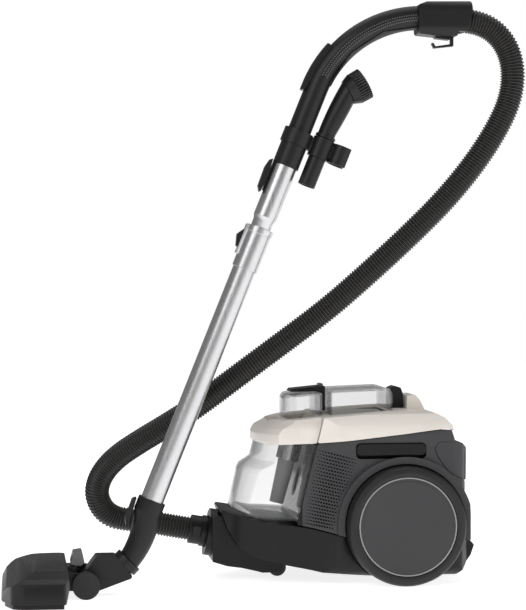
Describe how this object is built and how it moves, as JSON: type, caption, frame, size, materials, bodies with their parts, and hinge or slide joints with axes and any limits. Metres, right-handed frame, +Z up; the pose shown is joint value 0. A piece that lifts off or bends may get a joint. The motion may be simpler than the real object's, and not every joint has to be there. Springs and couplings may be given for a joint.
{
  "type": "canister vacuum cleaner",
  "caption": "Bagless canister vacuum cleaner with large rear wheels, clear dust container, ribbed hose, telescopic wand and floor head.",
  "frame": {"origin": "On the floor under the middle of the machine's bounding box, hose left aside.", "axes": "+X to the back of the canister, +Y away from the wand towards the canister, +Z up."},
  "size_m": [0.7914, 0.444, 0.8879],
  "materials": {
    "black": "satin black moulded plastic",
    "charcoal": "fine-grained charcoal plastic",
    "cream": "satin cream plastic",
    "clear": "clear smoke-tinted plastic",
    "grey": "mid-grey plastic",
    "latch_grey": "dark grey plastic",
    "satin_tube": "satin anodised tube",
    "steel": "plain steel",
    "tyre": "black rubber",
    "wheel": "dark grey satin disc",
    "hose": "ribbed black hose",
    "motor": "motor casing",
    "filter": "white filter media",
    "mesh": "fine steel mesh",
    "bristle": "black bristles",
    "soft_grip": "soft dotted grip",
    "board": "circuit board"
  },
  "bodies": {
    "machine": {"lower_chassis": "black", "inlet_ring": "black", "main_housing": "charcoal", "side_panel_near": "charcoal", "side_panel_far": "charcoal", "rear_top_cover": "cream", "rear_bumper": "tyre", "stub_axles": "steel", "filter_cartridge": "filter", "motor_housing": "grey", "motor": "motor", "exhaust_filter": "filter", "reel_housing": "grey", "cord_outlet_bush": "black", "control_board": "board", "chassis_screws": "steel", "hose_cuff": "black", "suction_hose": "hose", "handle_body": "charcoal", "grip_inlay": "soft_grip", "handle_shroud": "charcoal", "tool_clip": "charcoal", "upper_tube": "satin_tube"},
    "near_wheel": {"rear_wheel_near": "wheel", "tyre_near": "tyre"},
    "far_wheel": {"rear_wheel_far": "wheel", "tyre_far": "tyre"},
    "castor": {"castor_fork": "black"},
    "castor_roller": {"castor_wheel": "black"},
    "rewind": {"rewind_pedal": "charcoal"},
    "power": {"power_pedal": "charcoal"},
    "latch": {"lid_latch": "latch_grey"},
    "clear_lid": {"filter_lid": "clear"},
    "exhaust": {"exhaust_cover": "charcoal"},
    "impeller": {"fan": "grey"},
    "reel": {"cord_reel": "grey"},
    "container": {"dust_bin": "clear"},
    "container_top": {"bin_lid": "cream", "cyclone_dome": "clear", "bin_handle": "latch_grey", "cyclone_cone": "grey", "mesh_shroud": "mesh"},
    "release": {"bin_release": "latch_grey"},
    "cuff_release": {"cuff_button": "latch_grey"},
    "bleed_slider": {"suction_slider": "latch_grey"},
    "wand_latch": {"handle_latch": "latch_grey"},
    "tool": {"crevice_tool": "charcoal", "brush_holder": "charcoal", "brush_bristles": "bristle"},
    "lower_wand": {"lower_tube": "satin_tube", "tube_collar": "black", "elbow": "charcoal"},
    "telescope": {"telescope_button": "latch_grey"},
    "elbow_catch": {"elbow_latch": "latch_grey"},
    "neck_body": {"neck": "black"},
    "head": {"head_shell": "charcoal", "sole_plate": "black"},
    "head_rollers": {"head_wheels": "black"},
    "brushes": {"brush_strips": "bristle"},
    "pedal": {"floor_pedal": "latch_grey"}
  },
  "joints": [
    {"name": "near_wheel_spin", "type": "hinge", "parent": "machine", "child": "near_wheel", "pos_m": [0.248, 0.074, 0.092], "axis": [0, 1, 0], "continuous": true},
    {"name": "far_wheel_spin", "type": "hinge", "parent": "machine", "child": "far_wheel", "pos_m": [0.248, 0.074, 0.092], "axis": [0, 1, 0], "continuous": true},
    {"name": "castor_swivel", "type": "hinge", "parent": "machine", "child": "castor", "pos_m": [0.055, 0.074, 0.05], "axis": [0, 0, 1], "continuous": true},
    {"name": "castor_spin", "type": "hinge", "parent": "castor", "child": "castor_roller", "pos_m": [0.065, 0.074, 0.014], "axis": [0, 1, 0], "continuous": true},
    {"name": "rewind_press", "type": "slide", "parent": "machine", "child": "rewind", "axis": [0, 0, -1], "range_m": [0, 0.004], "stiffness_N_per_m": 1500, "springref_m": -0.002},
    {"name": "power_press", "type": "slide", "parent": "machine", "child": "power", "axis": [0, 0, -1], "range_m": [0, 0.004], "stiffness_N_per_m": 1500, "springref_m": -0.002},
    {"name": "latch_press", "type": "slide", "parent": "machine", "child": "latch", "axis": [0, 0, -1], "range_m": [0, 0.004], "stiffness_N_per_m": 1200, "springref_m": -0.002},
    {"name": "clear_lid_lift", "type": "slide", "parent": "machine", "child": "clear_lid", "axis": [0, 0, 1], "range_m": [0, 0.12]},
    {"name": "exhaust_cover_pull", "type": "slide", "parent": "machine", "child": "exhaust", "axis": [1, 0, 0], "range_m": [0, 0.08]},
    {"name": "fan_spin", "type": "hinge", "parent": "machine", "child": "impeller", "pos_m": [0.19, 0.074, 0.144], "axis": [0, 0, 1], "continuous": true},
    {"name": "reel_spin", "type": "hinge", "parent": "machine", "child": "reel", "pos_m": [0.286, 0.016, 0.112], "axis": [0, 1, 0], "continuous": true},
    {"name": "container_lift", "type": "slide", "parent": "machine", "child": "container", "axis": [0, 0, 1], "range_m": [0, 0.25]},
    {"name": "container_top_lift", "type": "slide", "parent": "container", "child": "container_top", "axis": [0, 0, 1], "range_m": [0, 0.15]},
    {"name": "release_press", "type": "slide", "parent": "container_top", "child": "release", "axis": [0, 0, -1], "range_m": [0, 0.004], "stiffness_N_per_m": 600, "springref_m": -0.002},
    {"name": "cuff_release_press", "type": "slide", "parent": "machine", "child": "cuff_release", "axis": [0, 1, 0], "range_m": [0, 0.0015], "stiffness_N_per_m": 600, "springref_m": -0.002},
    {"name": "bleed_slide", "type": "hinge", "parent": "machine", "child": "bleed_slider", "pos_m": [0.26599, -0.086, 0.6887], "axis": [0, 1, 0], "range_deg": [0, 2.5]},
    {"name": "wand_latch_press", "type": "hinge", "parent": "machine", "child": "wand_latch", "pos_m": [0.02597, -0.086, 0.62461], "axis": [0, 1, 0], "range_deg": [-4, 0], "stiffness_Nm_per_rad": 2, "springref_deg": 5.73},
    {"name": "tool_pull", "type": "slide", "parent": "machine", "child": "tool", "axis": [0.373, 0, 0.9278], "range_m": [0, 0.028]},
    {"name": "telescope_slide", "type": "slide", "parent": "machine", "child": "lower_wand", "axis": [-0.373, 0, -0.9278], "range_m": [0, 0.25]},
    {"name": "telescope_button_press", "type": "slide", "parent": "lower_wand", "child": "telescope", "axis": [-0.373, 0, -0.9278], "range_m": [0, 0.0045], "stiffness_N_per_m": 600, "springref_m": -0.002},
    {"name": "elbow_latch_press", "type": "hinge", "parent": "lower_wand", "child": "elbow_catch", "pos_m": [-0.17581, -0.086, 0.12588], "axis": [0, 1, 0], "range_deg": [-3, 0], "stiffness_Nm_per_rad": 2, "springref_deg": 5.73},
    {"name": "neck_swivel", "type": "hinge", "parent": "lower_wand", "child": "neck_body", "pos_m": [-0.177, -0.086, 0.052], "axis": [-0.7071, 0, -0.7071], "range_deg": [-35, 35]},
    {"name": "head_tilt", "type": "hinge", "parent": "neck_body", "child": "head", "pos_m": [-0.243, -0.086, 0.0205], "axis": [0, 1, 0], "range_deg": [-40, 12]},
    {"name": "head_wheel_spin", "type": "hinge", "parent": "head", "child": "head_rollers", "pos_m": [-0.243, -0.086, 0.0205], "axis": [0, 1, 0], "continuous": true},
    {"name": "floor_pedal_press", "type": "hinge", "parent": "head", "child": "pedal", "pos_m": [-0.264, -0.086, 0.049], "axis": [0, 1, 0], "range_deg": [0, 8]},
    {"name": "brush_drop", "type": "slide", "parent": "head", "child": "brushes", "axis": [0, 0, -1], "range_m": [0, 0.003]}
  ],
  "couplings": [
    {"joint": "brush_drop", "follows": "floor_pedal_press", "m_per_rad": 0.021486}
  ]
}
